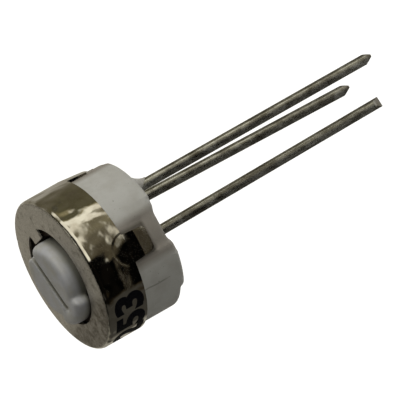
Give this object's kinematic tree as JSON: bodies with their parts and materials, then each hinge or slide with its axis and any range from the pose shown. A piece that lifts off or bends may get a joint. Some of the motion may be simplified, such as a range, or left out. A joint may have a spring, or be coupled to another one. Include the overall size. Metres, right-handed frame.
{
  "type": "trimmer potentiometer",
  "caption": "Round sealed trimmer potentiometer: slotted adjuster in a drawn metal cap over a ceramic base, with straight wire leads.",
  "frame": {"origin": "centre of the base's rear face, where the part stands on its board", "axes": "+Z out through the adjuster, the leads point along -Z, +X towards the line of the two end leads"},
  "size_m": [0.0096, 0.0096, 0.0231],
  "materials": {
    "cap_nickel": "satin",
    "base_ceramic": "matte",
    "alumina": "matte",
    "cermet_film": "satin",
    "silver_film": "satin",
    "tinned_wire": "satin",
    "solder": "gloss",
    "sealing_compound": "matte",
    "rubber_ring": "matte",
    "rotor_plastic": "satin",
    "spring_alloy": "satin"
  },
  "bodies": {
    "housing": {"base": "base_ceramic", "cap": "cap_nickel", "element_substrate": "alumina", "resistive_track": "cermet_film", "end_pad_ccw": "silver_film", "end_pad_cw": "silver_film", "collector_ring": "silver_film", "lead_ccw": "tinned_wire", "lead_wiper": "tinned_wire", "lead_cw": "tinned_wire", "solder_ccw": "solder", "solder_wiper": "solder", "solder_cw": "solder", "seal_ccw": "sealing_compound", "seal_wiper": "sealing_compound", "seal_cw": "sealing_compound", "rubber_ring": "rubber_ring"},
    "rotor": {"rotor": "rotor_plastic", "wiper": "spring_alloy"}
  },
  "joints": [
    {"name": "rotor_turn", "type": "hinge", "parent": "housing", "child": "rotor", "pos_m": [0, 0, 0.005], "axis": [0, 0, 1], "range_deg": [-136.5, 121.5]}
  ]
}
